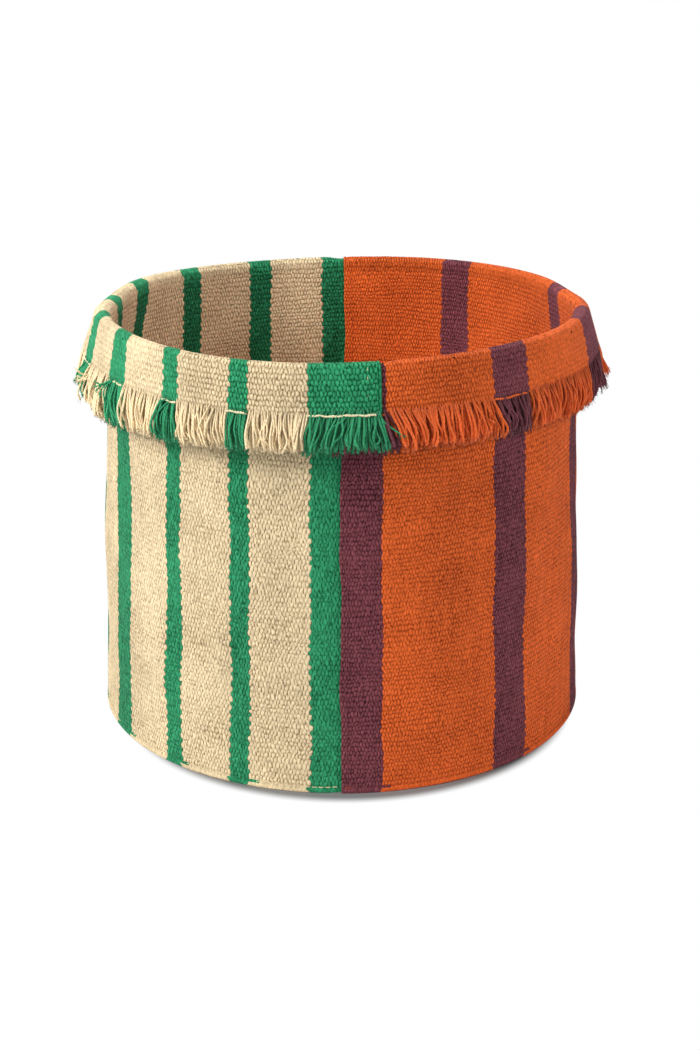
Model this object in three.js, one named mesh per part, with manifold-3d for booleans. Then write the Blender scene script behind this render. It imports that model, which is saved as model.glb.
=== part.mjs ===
// A round floor basket of thick striped cloth, open at the top.
//
// Two woven panels make the wall. Each rises from the floor, folds outwards over the rim in a
// soft roll and hangs down again as a short cuff, where its warp ends leave the weave as a fringe.
// The panels lap over each other in front and behind. A cloth base with a turned-up lip closes
// the bottom, and sewing thread holds the laps and the foot together.
//
// Lengths are in millimetres. +Z is up, the floor is z = 0 and the front is -Y. An angle round
// the basket is called a turn: 0 is the front, and it grows towards +X.

import * as THREE from 'three';
import { mergeVertices } from 'three/addons/utils/BufferGeometryUtils.js';
import Module from 'manifold-3d';

const degrees = THREE.MathUtils.degToRad;

// Wall and rim
const rimHeight = 352; // mean height of the rim's crest
const footRadius = 210.6; // outside of the wall on the floor
const rimRadius = 196.7; // outside of the wall under the roll
const clothThickness = 3.2;
const rollRadius = 5.6; // from the roll's centre to the middle of the cloth
const footRounding = 1.4; // the hem's outer edge is rolled under by this much

// Soft unevenness of the rim's crest
const rimSideRise = 1.9; // the two sides stand higher than front and back
const rimTilt = 0.9; // the +X side stands higher than the -X side
const rimRipple = 1.2; // three shallow waves round the rim

// Cuff
const cuffLean = degrees(17); // outwards from upright
const cuffLength = 32; // woven length from the roll to the header weft

// Laps of the two panels
const lapWidth = 28.5;
const lapRamp = 17; // length over which a panel steps up or down beside the lap
const layerGap = 0.5; // between the two cloths of a lap

// Header weft and fringe
const headerDiameter = 1.5;
const fringeBand = 2.6; // height of the woven edge that holds the strands
const fringePitch = 4.6; // from strand to strand
const strandRadius = 1.5;
const fringeLength = 29; // at the front
const fringeSideGain = 6.5; // longer strands at the sides
const fringeLeftBias = 0.55; // more of that gain on the -X side
const fringeScatter = 1.2; // a strand is this much longer or shorter than its neighbours
const fringeFlare = 3.4; // how far a strand's end stands out from its root
const fringeSweep = 2.4; // sideways drift of the strand ends
const sweptStrands = 27; // the strands lean in groups of about this many
const strandThinning = 0.25; // share of its radius that a strand loses towards its end

// Base
const baseThickness = 3.4;
const baseLip = 14; // height of the turned-up lip
const baseBend = 4.6; // outer radius of the bend into the lip

// Sewing thread
const threadDiameter = 0.9;
const footSeamHeight = 5; // of the foot seam above the floor
const lapSeamInset = 4.5; // from the outer cloth's edge to its seam
const hiddenSeamInset = 9; // from the inner cloth's edge to its seam
const seamEndInset = 2.5; // a seam stops this far short of an edge or another seam

const clearance = 0.3; // between pieces that touch

// Facets
const widestStep = degrees(5.3);
const wallSteps = 4;
const rollSteps = 7;
const cuffSteps = 2;
const bendSteps = 3; // in the base's bend
const strandStops = [0, 0.45, 1]; // shares of a strand's length

const colours = {
  cream: 0xe3cba0,
  green: 0x2c9662,
  orange: 0xd05c28,
  purple: 0x704248,
};

// Angles and offsets that follow from the sizes
const middleRadius = (footRadius + rimRadius) / 2;
const lapTurn = lapWidth / middleRadius;
const rampTurn = lapRamp / middleRadius;
const layerStep = (clothThickness + layerGap) / 2;
const taper = Math.atan2(footRadius - rimRadius, rimHeight);
const headerSlot = headerDiameter + 2 * clearance;

const smooth = (share) => {
  const t = THREE.MathUtils.clamp(share, 0, 1);
  return t * t * (3 - 2 * t);
};

// A panel's lift moves its cloth towards the face that looks into the basket, or away from it.
const creamPanel = {
  start: -Math.PI - lapTurn,
  end: lapTurn,
  lift: (turn) =>
    layerStep * (smooth((turn + rampTurn) / rampTurn) - smooth((rampTurn - Math.PI - turn) / rampTurn)),
};
const orangePanel = {
  start: 0,
  end: Math.PI,
  lift: (turn) =>
    layerStep *
    (smooth((turn + lapTurn + rampTurn - Math.PI) / rampTurn) -
      smooth((lapTurn + rampTurn - turn) / rampTurn)),
};

// The turns at which every piece has its facets, so that neighbours stay parallel.
const circle = [];
const marks = [
  -rampTurn,
  0,
  lapTurn,
  lapTurn + rampTurn,
  Math.PI - lapTurn - rampTurn,
  Math.PI - lapTurn,
  Math.PI,
  Math.PI + rampTurn,
  2 * Math.PI - rampTurn,
];
for (let k = 0; k + 1 < marks.length; k += 1) {
  const steps = Math.ceil((marks[k + 1] - marks[k]) / widestStep);
  for (let i = 0; i < steps; i += 1) {
    circle.push(THREE.MathUtils.lerp(marks[k], marks[k + 1], i / steps));
  }
}

function turnsBetween(start, end) {
  const inside = [-2 * Math.PI, 0]
    .flatMap((round) => circle.map((turn) => turn + round))
    .filter((turn) => turn > start + 1e-6 && turn < end - 1e-6);
  return [start, ...inside, end];
}

// A point at any turn, on the straight facet between the two turns beside it.
function onFacet(turn, pointAt) {
  const round = Math.floor((turn - circle[0]) / (2 * Math.PI)) * 2 * Math.PI;
  const stops = [...circle, circle[0] + 2 * Math.PI].map((stop) => stop + round);
  const next = Math.max(1, stops.findIndex((stop) => stop >= turn - 1e-9));
  const share = (turn - stops[next - 1]) / (stops[next] - stops[next - 1]);
  return pointAt(stops[next - 1]).lerp(pointAt(stops[next]), share);
}

const rimCrest = (turn) =>
  rimHeight - rimSideRise * Math.cos(2 * turn) + rimTilt * Math.sin(turn) + rimRipple * Math.sin(3 * turn);

const wallOutside = (z) => footRadius - Math.tan(taper) * z;

// The middle of the cloth as radius, height and face normal, in a plane through the axis.
function wallAt(z) {
  return { r: wallOutside(z) - clothThickness / 2, z, nr: -Math.cos(taper), nz: -Math.sin(taper) };
}

function rollAt(turn, bend) {
  const centreZ = rimCrest(turn) - clothThickness / 2 - rollRadius;
  const start = wallAt(centreZ - rollRadius * Math.sin(taper));
  const centreR = start.r + rollRadius * Math.cos(taper);
  const angle = THREE.MathUtils.lerp(-taper, Math.PI - cuffLean, bend);
  const nr = -Math.cos(angle);
  const nz = Math.sin(angle);
  return { r: centreR + rollRadius * nr, z: centreZ + rollRadius * nz, nr, nz };
}

function cuffAt(turn, distance) {
  const edge = rollAt(turn, 1);
  return {
    ...edge,
    r: edge.r + distance * Math.sin(cuffLean),
    z: edge.z - distance * Math.cos(cuffLean),
  };
}

const place = (r, z, turn) => new THREE.Vector3(r * Math.sin(turn), -r * Math.cos(turn), z);

const offsetFrom = (spot, turn, offset) => place(spot.r + spot.nr * offset, spot.z + spot.nz * offset, turn);

// Skins a row of closed rings and closes its ends. A ring's two halves face each other.
function loft(rings) {
  const size = rings[0].length;
  const indices = [];
  const quad = (a, b, c, d) => {
    if (b !== c) indices.push(a, b, c);
    if (c !== d) indices.push(a, c, d);
  };
  for (let k = 0; k + 1 < rings.length; k += 1) {
    for (let i = 0; i < size; i += 1) {
      const j = (i + 1) % size;
      quad(k * size + i, k * size + j, (k + 1) * size + j, (k + 1) * size + i);
    }
  }
  const last = (rings.length - 1) * size;
  for (let i = 0; 2 * i + 2 < size; i += 1) {
    const far = size - 1 - i;
    quad(i, far, far - 1, i + 1);
    quad(last + i, last + i + 1, last + far - 1, last + far);
  }
  return closedGeometry(rings.flat(), indices);
}

function closedGeometry(points, indices) {
  const geometry = new THREE.BufferGeometry().setFromPoints(points);
  geometry.setIndex(indices);
  let sixVolumes = 0;
  for (let k = 0; k < indices.length; k += 3) {
    const [a, b, c] = [0, 1, 2].map((i) => points[indices[k + i]]);
    sixVolumes += a.dot(new THREE.Vector3().crossVectors(b, c));
  }
  if (sixVolumes < 0) geometry.setIndex([...indices].reverse());
  return geometry;
}

// The wall, the roll and the cuff of one panel, as one cloth of even thickness.
function clothSection(panel, turn) {
  const top = rollAt(turn, 0).z;
  const spots = [];
  for (let k = 1; k < wallSteps; k += 1) spots.push(wallAt((top * k) / wallSteps));
  for (let k = 0; k <= rollSteps; k += 1) spots.push(rollAt(turn, k / rollSteps));
  for (let k = 1; k <= cuffSteps; k += 1) spots.push(cuffAt(turn, (cuffLength * k) / cuffSteps));
  const half = clothThickness / 2;
  const lift = panel.lift(turn);
  const foot = wallOutside(0) - clothThickness - lift;
  const hem = wallAt(footRounding);
  return [
    place(foot, 0, turn),
    offsetFrom(hem, turn, lift + half),
    ...spots.map((spot) => offsetFrom(spot, turn, lift + half)),
    ...spots.map((spot) => offsetFrom(spot, turn, lift - half)).reverse(),
    offsetFrom(hem, turn, lift - half),
    place(foot + clothThickness - footRounding, 0, turn),
  ];
}

function clothPanel(panel) {
  return loft(turnsBetween(panel.start, panel.end).map((turn) => clothSection(panel, turn)));
}

// A round thread through a list of points, square to its path, with a flat cut at each end.
// Its rings carry one direction on from point to point, so the thread never twists.
function thread(points, diameter, sides = 6) {
  const across = new THREE.Vector3();
  const rings = points.map((point, k) => {
    const before = points[Math.max(0, k - 1)];
    const after = points[Math.min(points.length - 1, k + 1)];
    const along = after.clone().sub(before).normalize();
    if (k === 0) across.crossVectors(along, new THREE.Vector3(point.x, point.y, 0));
    across.addScaledVector(along, -across.dot(along)).normalize();
    const third = along.clone().cross(across);
    return Array.from({ length: sides }, (_, i) => {
      const angle = (2 * Math.PI * i) / sides;
      return point
        .clone()
        .addScaledVector(across, (diameter / 2) * Math.cos(angle))
        .addScaledVector(third, (diameter / 2) * Math.sin(angle));
    });
  });
  return loft(rings);
}

// The last, heavier weft of a panel, between its woven edge and its fringe.
function headerWeft(panel) {
  const inset = seamEndInset / middleRadius;
  const flush = (clothThickness - headerDiameter) / 2;
  const points = turnsBetween(panel.start + inset, panel.end - inset).map((turn) =>
    onFacet(turn, (stop) =>
      offsetFrom(cuffAt(stop, cuffLength + headerSlot / 2), stop, panel.lift(stop) + flush)),
  );
  return thread(points, headerDiameter);
}

let wasm;
async function joined(geometries) {
  if (!wasm) {
    wasm = await Module();
    wasm.setup();
  }
  const solids = geometries.map((geometry) => {
    const bare = mergeVertices(geometry, 1e-5);
    return new wasm.Manifold(
      new wasm.Mesh({
        numProp: 3,
        vertProperties: Float32Array.from(bare.attributes.position.array),
        triVerts: Uint32Array.from(bare.index.array),
      }),
    );
  });
  const mesh = wasm.Manifold.union(solids).getMesh();
  const geometry = new THREE.BufferGeometry();
  geometry.setAttribute('position', new THREE.BufferAttribute(Float32Array.from(mesh.vertProperties), 3));
  geometry.setIndex([...mesh.triVerts]);
  return geometry;
}

// A repeatable value between -1 and 1 that differs from strand to strand.
const scatter = (number, stride) => Math.sin(2 * Math.PI * stride * number);

// One free warp end: three-sided, rooted in the band, standing out and then hanging down.
function strand(panel, turn, number) {
  const root = onFacet(turn, (stop) =>
    offsetFrom(cuffAt(stop, cuffLength + headerSlot + fringeBand / 2), stop, panel.lift(stop)));
  const sideways = new THREE.Vector3(Math.cos(turn), Math.sin(turn), 0);
  const outwards = new THREE.Vector3(Math.sin(turn), -Math.cos(turn), 0);
  const side = Math.sin(turn);
  const gain = fringeSideGain * side * side * (1 - fringeLeftBias * side);
  const length = fringeLength + gain + fringeScatter * scatter(number, 0.382);
  const sway = scatter(number, 1 / sweptStrands) * scatter(number, 0.3 / sweptStrands);
  const spare = fringePitch / 2 - strandRadius;
  const drift = fringeSweep * sway + (spare / 2) * scatter(number, 0.302);
  const centreAt = (share) =>
    root
      .clone()
      .addScaledVector(outwards, fringeFlare * (1 - (1 - share) ** 2))
      .addScaledVector(sideways, drift * share)
      .setZ(root.z - length * share);
  return loft(
    strandStops.map((share) => {
      const centre = centreAt(share);
      const radius = strandRadius * (1 - strandThinning * share);
      const corner = (angle) =>
        centre
          .clone()
          .addScaledVector(outwards, radius * Math.sin(angle))
          .addScaledVector(sideways, radius * Math.cos(angle));
      return [degrees(90), degrees(210), degrees(330)].map(corner);
    }),
  );
}

function fringe(panel) {
  const half = clothThickness / 2;
  const top = cuffLength + headerSlot;
  const band = loft(
    turnsBetween(panel.start, panel.end).map((turn) =>
      [
        [top, half],
        [top + fringeBand, half],
        [top + fringeBand, -half],
        [top, -half],
      ].map(([distance, side]) => offsetFrom(cuffAt(turn, distance), turn, panel.lift(turn) + side)),
    ),
  );
  const pitch = fringePitch / cuffAt(0, top).r;
  const count = Math.floor((panel.end - panel.start) / pitch);
  const first = (panel.start + panel.end - (count - 1) * pitch) / 2;
  const strands = Array.from({ length: count }, (_, k) => strand(panel, first + k * pitch, k));
  return joined([band, ...strands]);
}

// Radius of the wall's inner face, taken on the inner cloth where two lie over each other.
function innerFace(turn, z) {
  const lifts = [];
  for (const panel of [creamPanel, orangePanel]) {
    for (const seen of [turn, turn - 2 * Math.PI]) {
      if (seen >= panel.start - 1e-6 && seen <= panel.end + 1e-6) lifts.push(panel.lift(seen));
    }
  }
  return wallOutside(z) - clothThickness - Math.max(...lifts);
}

// The round base: flat on the floor, with its edge turned up inside the wall.
function basePanel() {
  const profileAt = (turn) => {
    const outside = (z) => innerFace(turn, z) - clearance;
    const bend = Array.from({ length: bendSteps + 1 }, (_, k) => {
      const angle = ((Math.PI / 2) * k) / bendSteps;
      return [outside(baseBend) - baseBend * (1 - Math.sin(angle)), baseBend * (1 - Math.cos(angle))];
    });
    const innerBend = Math.max(baseBend - baseThickness, baseBend / 5);
    return [
      ...bend,
      [outside(baseLip), baseLip],
      [outside(baseLip) - baseThickness, baseLip],
      [outside(baseBend) - baseThickness, baseThickness + innerBend],
      [outside(baseBend) - baseThickness - innerBend, baseThickness],
    ];
  };
  const rings = circle.map((turn) => profileAt(turn).map(([r, z]) => place(r, z, turn)));
  const size = rings[0].length;
  const points = [...rings.flat(), new THREE.Vector3(0, 0, 0), new THREE.Vector3(0, 0, baseThickness)];
  const [under, over] = [points.length - 2, points.length - 1];
  const indices = [];
  rings.forEach((_, k) => {
    const a = k * size;
    const b = ((k + 1) % rings.length) * size;
    for (let i = 0; i + 1 < size; i += 1) indices.push(a + i, b + i, b + i + 1, a + i, b + i + 1, a + i + 1);
    indices.push(under, b, a, over, a + size - 1, b + size - 1);
  });
  return closedGeometry(points, indices);
}

// The seam round the foot, on the outside of the panels that show there.
function footSeam(panel, start, end) {
  const offset = -clothThickness / 2 - clearance - threadDiameter / 2;
  const inset = seamEndInset / footRadius;
  const points = turnsBetween(start + inset, end - inset).map((turn) =>
    onFacet(turn, (stop) => offsetFrom(wallAt(footSeamHeight), stop, panel.lift(stop) + offset)),
  );
  return thread(points, threadDiameter, 4);
}

// The seam on the outside of the wall beside the edge of the outer cloth, up to the roll.
function outerLapSeam(panel, turn) {
  const offset = -clothThickness / 2 - clearance - threadDiameter / 2;
  const low = footSeamHeight + seamEndInset;
  const high = rollAt(turn, 0).z;
  const points = Array.from({ length: wallSteps + 1 }, (_, k) =>
    onFacet(turn, (stop) =>
      offsetFrom(wallAt(THREE.MathUtils.lerp(low, high, k / wallSteps)), stop, panel.lift(stop) + offset)),
  );
  return thread(points, threadDiameter, 4);
}

// The seam beside the edge of the inner cloth: up inside, over the roll and down the cuff.
function innerLapSeam(panel, turn) {
  const offset = clothThickness / 2 + clearance + threadDiameter / 2;
  const low = baseLip + seamEndInset;
  const top = rollAt(turn, 0).z;
  const spotsAt = (stop) => [
    ...Array.from({ length: wallSteps }, (_, k) => wallAt(THREE.MathUtils.lerp(low, top, k / wallSteps))),
    ...Array.from({ length: rollSteps + 1 }, (_, k) => rollAt(stop, k / rollSteps)),
    cuffAt(stop, cuffLength - seamEndInset),
  ];
  const points = spotsAt(turn).map((_, k) =>
    onFacet(turn, (stop) => offsetFrom(spotsAt(stop)[k], stop, panel.lift(stop) + offset)),
  );
  return thread(points, threadDiameter, 4);
}

const basket = new THREE.Group();

function add(name, geometry, colour, roughness = 0.92) {
  geometry.computeVertexNormals();
  const material = new THREE.MeshStandardMaterial({ color: colour, roughness, metalness: 0 });
  const mesh = new THREE.Mesh(geometry, material);
  mesh.name = name;
  basket.add(mesh);
}

const outerSeamTurn = lapSeamInset / middleRadius;
const innerSeamTurn = hiddenSeamInset / middleRadius;

add('cream_green_panel', clothPanel(creamPanel), colours.cream);
add('orange_purple_panel', clothPanel(orangePanel), colours.orange);
add('base_panel', basePanel(), colours.cream);
add('cream_green_fringe', await fringe(creamPanel), colours.cream);
add('orange_purple_fringe', await fringe(orangePanel), colours.orange);
add('cream_header_weft', headerWeft(creamPanel), colours.cream);
add('orange_header_weft', headerWeft(orangePanel), colours.orange);
add('front_lap_outer_seam', outerLapSeam(orangePanel, outerSeamTurn), colours.purple);
add('front_lap_inner_seam', innerLapSeam(creamPanel, lapTurn - innerSeamTurn), colours.cream);
add('back_lap_outer_seam', outerLapSeam(creamPanel, outerSeamTurn - Math.PI - lapTurn), colours.green);
add('back_lap_inner_seam', innerLapSeam(orangePanel, Math.PI - innerSeamTurn), colours.orange);
add('cream_foot_seam', footSeam(creamPanel, creamPanel.start, 0), colours.cream);
add('orange_foot_seam', footSeam(orangePanel, 0, Math.PI - lapTurn), colours.orange);

export default basket;
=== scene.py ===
"""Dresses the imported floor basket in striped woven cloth, fringe and stitches.

Lengths are in metres. The basket stands on z = 0 with its front towards -Y. A turn is an angle
round the basket: 0 in front, growing towards +X. A row is a place along the cloth, counted in
rows of the cloth's mesh from the foot, up the wall, over the roll and down the cuff.
"""
import math

import bpy
import numpy as np
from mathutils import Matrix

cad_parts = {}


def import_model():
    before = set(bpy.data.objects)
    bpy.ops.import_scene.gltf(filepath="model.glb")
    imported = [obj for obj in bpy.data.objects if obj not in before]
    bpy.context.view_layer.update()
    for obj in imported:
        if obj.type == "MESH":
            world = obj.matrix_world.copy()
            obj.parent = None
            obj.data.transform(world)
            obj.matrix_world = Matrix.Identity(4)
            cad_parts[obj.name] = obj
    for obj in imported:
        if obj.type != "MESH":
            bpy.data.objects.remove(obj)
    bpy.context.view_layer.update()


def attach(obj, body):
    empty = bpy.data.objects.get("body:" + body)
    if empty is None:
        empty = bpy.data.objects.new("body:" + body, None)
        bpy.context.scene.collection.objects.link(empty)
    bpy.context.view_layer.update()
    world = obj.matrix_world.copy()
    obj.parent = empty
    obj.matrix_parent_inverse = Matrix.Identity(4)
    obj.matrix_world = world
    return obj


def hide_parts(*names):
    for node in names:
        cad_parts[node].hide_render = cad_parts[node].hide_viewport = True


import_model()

MM = 0.001
random = np.random.default_rng(7)

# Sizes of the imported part
RIM_HEIGHT = 352 * MM
FOOT_RADIUS = 210.6 * MM
RIM_RADIUS = 196.7 * MM
CLOTH = 3.2 * MM
ROLL_RADIUS = 5.6 * MM
RIM_SIDE_RISE = 1.9 * MM
RIM_TILT = 0.9 * MM
RIM_RIPPLE = 1.2 * MM
CUFF_LEAN = math.radians(17)
CUFF_LENGTH = 32 * MM
LAP_WIDTH = 28.5 * MM
LAP_RAMP = 17 * MM
BASE_CLOTH = 3.4 * MM
BASE_LIP = 14 * MM
BASE_BEND = 4.6 * MM
BASE_ROW = 3.75 * MM
CLEARANCE = 0.3 * MM
FOOT_SEAM = 5 * MM
LAP_SEAM_INSET = 4.5 * MM
HIDDEN_SEAM_INSET = 9 * MM

MIDDLE_RADIUS = (FOOT_RADIUS + RIM_RADIUS) / 2
LAP_TURN = LAP_WIDTH / MIDDLE_RADIUS
RAMP_TURN = LAP_RAMP / MIDDLE_RADIUS
TAPER = math.atan2(FOOT_RADIUS - RIM_RADIUS, RIM_HEIGHT)

# A cloth's mesh has cells across it and rows along it. Its finish draws the floats of the weave,
# which are finer, so the mesh itself has only low lumps.
CELL = 3.25 * MM
WALL_ROWS = 84
ROLL_ROWS = 4
CUFF_ROWS = 8
LAST_ROW = WALL_ROWS + ROLL_ROWS + CUFF_ROWS
WALL_ROW = RIM_HEIGHT / WALL_ROWS
CUFF_ROW = CUFF_LENGTH / CUFF_ROWS
SEAM_ROW = FOOT_SEAM / WALL_ROW
LUMP = 0.09 * MM

# At the laps two cloths press each other thinner, more so behind
FRONT_PRESS = 0.55
BACK_PRESS = 0.4
LAYER_GAP = 0.25 * MM
FRONT_STEP = (CLOTH * FRONT_PRESS + LAYER_GAP) / 2
BACK_STEP = (CLOTH * BACK_PRESS + LAYER_GAP) / 2

# How far the warp yarns have slid round the basket, in degrees, by turn: at the top of the cuff,
# and further at its lower edge
SLIDE_TURNS = [
    -115, -97, -90, -83.8, -72, -61.4, -50, -40.9, -22.6, -6.4, 0, 9, 25, 41, 60, 70.5, 84, 100, 125,
]
TOP_SLIDE = [0, 1.5, 6, 10.8, 8, 5.2, 3.2, 1.7, 1.2, -0.2, 0, 0, -2, -3.3, -3, -2, 3, 1.5, 0]
EDGE_SLIDE = [0, 2, 8, 14, 10.8, 7.6, 5.6, 4.1, 2.3, 0.3, 0, 0, -2.6, -4.7, -5, -4.3, 3, 1.5, 0]


def smooth(share):
    """3 s^2 - 2 s^3 on a share held between 0 and 1."""
    s = np.clip(share, 0, 1)
    return s * s * (3 - 2 * s)


def bump_at(x, centre, width):
    """A bell, exp(-((x - centre) / width)^2)."""
    return np.exp(-(((x - centre) / width) ** 2))


class Panel:
    """One of the two cloths: where it starts and ends, how it steps at the laps, and its stripes."""

    def __init__(self, name, start, end, lift, stripes):
        self.name = name
        self.start = start
        self.end = end
        self.lift = lift
        self.cells = round((end - start) * MIDDLE_RADIUS / CELL)
        turns = np.radians(np.array(stripes, float))
        self.stripes = (turns - start) / (end - start)

    def turn_at(self, cell):
        return self.start + (self.end - self.start) * cell / self.cells

    def cell_at(self, turn):
        return (turn - self.start) / (self.end - self.start) * self.cells

    def striped(self, cell):
        """1 where a warp end has the stripes' colour, else 0."""
        share = np.asarray(cell) / self.cells
        inside = (share[..., None] > self.stripes[:, 0]) & (share[..., None] < self.stripes[:, 1])
        return inside.any(-1).astype(float)


def cream_lift(turn):
    """How far the cream cloth steps outwards: over the other at the front lap, under it behind."""
    front = smooth((turn + RAMP_TURN) / RAMP_TURN)
    back = smooth((RAMP_TURN - math.pi - turn) / RAMP_TURN)
    return FRONT_STEP * front - BACK_STEP * back


def orange_lift(turn):
    """How far the orange cloth steps outwards: over the other behind, under it in front."""
    back = smooth((turn + LAP_TURN + RAMP_TURN - math.pi) / RAMP_TURN)
    front = smooth((LAP_TURN + RAMP_TURN - turn) / RAMP_TURN)
    return BACK_STEP * back - FRONT_STEP * front


FRONT_EDGE = LAP_TURN + math.radians(0.2)
BACK_EDGE = math.pi - math.radians(0.55)

# Edges of each stripe as turns on the wall, in degrees
cream_panel = Panel(
    "cream_green",
    -math.pi - LAP_TURN,
    FRONT_EDGE,
    cream_lift,
    [
        (-190, -174.8), (-160, -153.7), (-138.9, -132.3), (-117.6, -112), (-100.2, -95.4), (-86.6, -81),
        (-65.4, -58.3), (-43.5, -38.6), (-25.5, -20.4), (-7.1, 10),
    ],
)
orange_panel = Panel(
    "orange_purple",
    0,
    BACK_EDGE,
    orange_lift,
    [(-1, 8.8), (36.1, 45.8), (70.5, 81), (103, 110), (142.3, 151.4)],
)


def slid(turn, row):
    """Where the warp yarns really run. They slide sideways over the roll and down the cuff, lean in
    two places inside, and wander a little everywhere: crossed waves of about a millimetre."""
    degrees = np.degrees(turn)
    over = smooth((row - WALL_ROWS + 4) / (ROLL_ROWS + 4))
    down = np.clip((row - WALL_ROWS - ROLL_ROWS / 2) / (CUFF_ROWS + ROLL_ROWS / 2), 0, 1)
    top = np.interp(degrees, SLIDE_TURNS, TOP_SLIDE)
    edge = np.interp(degrees, SLIDE_TURNS, EDGE_SLIDE)
    lean = 3.4 * bump_at(degrees, -114.5, 13) - 2.5 * bump_at(degrees, 107, 13)
    lean = lean * smooth((WALL_ROWS - row) / 12)
    moved = over * (top + (edge - top) * down) + lean
    wander = 0.6 * np.sin(row * 0.21 + 7 * turn) + 0.4 * np.sin(row * 0.47 - 19 * turn + 1)
    return turn + np.radians(moved) + wander * MM / MIDDLE_RADIUS


def packed(turn, row):
    """Rows as they really lie: a little crowded here and loose there, by up to half a row."""
    loose = 0.3 * np.sin(row * 0.33 + 5 * turn) + 0.2 * np.sin(row * 0.62 - 11 * turn + 2)
    return row + loose * smooth((row - 2) / 5) * smooth((WALL_ROWS - row) / 4)


def cloth_line(panel, turn, row, offset):
    """Points on a panel. The middle of the cloth follows the wall's cone to its top, then the
    roll's arc of radius ROLL_RADIUS, then the cuff's straight slope. Each point then moves along
    the face normal by the panel's lift, a soft dent and the offset. The roll sags by about 3 mm
    on both sides of the back."""
    turn, row, offset = np.broadcast_arrays(turn, row, offset)
    lift = panel.lift(turn)
    turn, row = slid(turn, row), packed(turn, row)
    crest = (
        RIM_HEIGHT
        - RIM_SIDE_RISE * np.cos(2 * turn)
        + RIM_TILT * np.sin(turn)
        + RIM_RIPPLE * np.sin(3 * turn)
    )
    centre_z = crest - CLOTH / 2 - ROLL_RADIUS
    top = centre_z - ROLL_RADIUS * math.sin(TAPER)
    wall_z = top * np.minimum(row / WALL_ROWS, 1)
    wall_r = FOOT_RADIUS - math.tan(TAPER) * wall_z - CLOTH / 2
    bend = np.clip((row - WALL_ROWS) / ROLL_ROWS, 0, 1)
    hang = np.maximum(row - WALL_ROWS - ROLL_ROWS, 0) * CUFF_ROW
    angle = -TAPER + (math.pi - CUFF_LEAN + TAPER) * bend
    normal_r = -np.cos(angle)
    normal_z = np.sin(angle)
    centre_r = FOOT_RADIUS - math.tan(TAPER) * top - CLOTH / 2 + ROLL_RADIUS * math.cos(TAPER)
    roll_r = centre_r + ROLL_RADIUS * normal_r + hang * math.sin(CUFF_LEAN)
    roll_z = centre_z + ROLL_RADIUS * normal_z - hang * math.cos(CUFF_LEAN)
    on_wall = row <= WALL_ROWS
    out = lift + offset + dent(turn, wall_z) * (1 - bend)
    degrees = np.degrees(turn)
    sag = bump_at(degrees, -97, 14) + 0.5 * bump_at(degrees, 103, 10)
    sag = sag * smooth((row - WALL_ROWS + 14) / 14) * smooth((LAST_ROW + 1 - row) / 8)
    r = np.where(on_wall, wall_r, roll_r) + normal_r * out - 3 * MM * sag
    z = np.where(on_wall, wall_z, roll_z) + normal_z * out - 3.5 * MM * sag
    return np.stack([r * np.sin(turn), -r * np.cos(turn), z], -1)


def dent(turn, z):
    """Soft hollows and swells of the standing cloth: a few crossed waves that fade to nothing at the
    foot and under the roll, upright folds that come and go round the basket, two low creases on
    the left, a swell on the right, and one broad fold in the back."""
    held = smooth((z - 0.018) / 0.05) * smooth((0.335 - z) / 0.06)
    waves = (
        0.55 * np.sin(5 * turn + 9 * z / 0.3 + 0.6)
        + 0.45 * np.sin(9 * turn - 7 * z / 0.3 + 2.1)
        + 0.3 * np.sin(14 * turn + 16 * z / 0.3 + 4.0)
        + 0.16 * np.sin(31 * turn + 30 * z / 0.3 + 1.0)
    )
    folds = np.sin(23 * turn + 0.8 * np.sin(3 * turn) + 1.2) * (0.6 + 0.4 * np.sin(7 * turn + 2))
    fold_held = smooth((z - 0.1) / 0.15) * smooth((0.345 - z) / 0.03)
    degrees = np.degrees(turn)
    creases = -1.5 * bump_at(degrees, -44.5, 2.4) * bump_at(z, 0.06, 0.05)
    creases = creases - 1.3 * bump_at(degrees + 90 * z, -28.5, 1.8) * bump_at(z, 0.035, 0.025)
    creases = creases + 1.3 * bump_at(degrees, 56, 4) * bump_at(z, 0.13, 0.09)
    broad = 1.3 * bump_at(degrees, 170, 5) - 1.7 * bump_at(degrees, 160, 5.5)
    return MM * (held * (1.25 * waves + creases) + fold_held * (0.45 * folds + broad))


# Meshes

def piece(name, points, faces, maps, material):
    """A mesh object from an array of points and arrays of faces, with named UV maps given as one
    pair for each point."""
    mesh = bpy.data.meshes.new(name)
    mesh.from_pydata(points.reshape(-1, 3), [], [f for block in faces for f in block.tolist()])
    corners = np.empty(len(mesh.loops), np.int32)
    mesh.loops.foreach_get("vertex_index", corners)
    for label, values in maps.items():
        layer = mesh.uv_layers.new(name=label)
        layer.data.foreach_set("uv", values.reshape(-1, 2)[corners].astype(np.float32).ravel())
    mesh.polygons.foreach_set("use_smooth", np.ones(len(mesh.polygons), bool))
    mesh.materials.append(material)
    mesh.update()
    made = bpy.data.objects.new(name, mesh)
    bpy.context.scene.collection.objects.link(made)
    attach(made, "root")
    return made


def grid_faces(rows, columns, offset=0, closed=False):
    """Quads of a grid of points that are numbered row by row. Closed joins its last column to its
    first."""
    k = np.arange(rows * columns).reshape(rows, columns) + offset
    if closed:
        k = np.concatenate([k, k[:, :1]], 1)
    return np.stack([k[:-1, :-1], k[:-1, 1:], k[1:, 1:], k[1:, :-1]], -1).reshape(-1, 4)


def turned_out(points, faces):
    """The same faces, wound so that their solid's volume is positive."""
    p = points.reshape(-1, 3)
    volume = 0
    for block in faces:
        for k in range(1, block.shape[1] - 1):
            a, b, c = p[block[:, 0]], p[block[:, k]], p[block[:, k + 1]]
            volume += np.einsum("ij,ij->", a, np.cross(b, c))
    return [block[:, ::-1] for block in faces] if volume < 0 else faces


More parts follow.
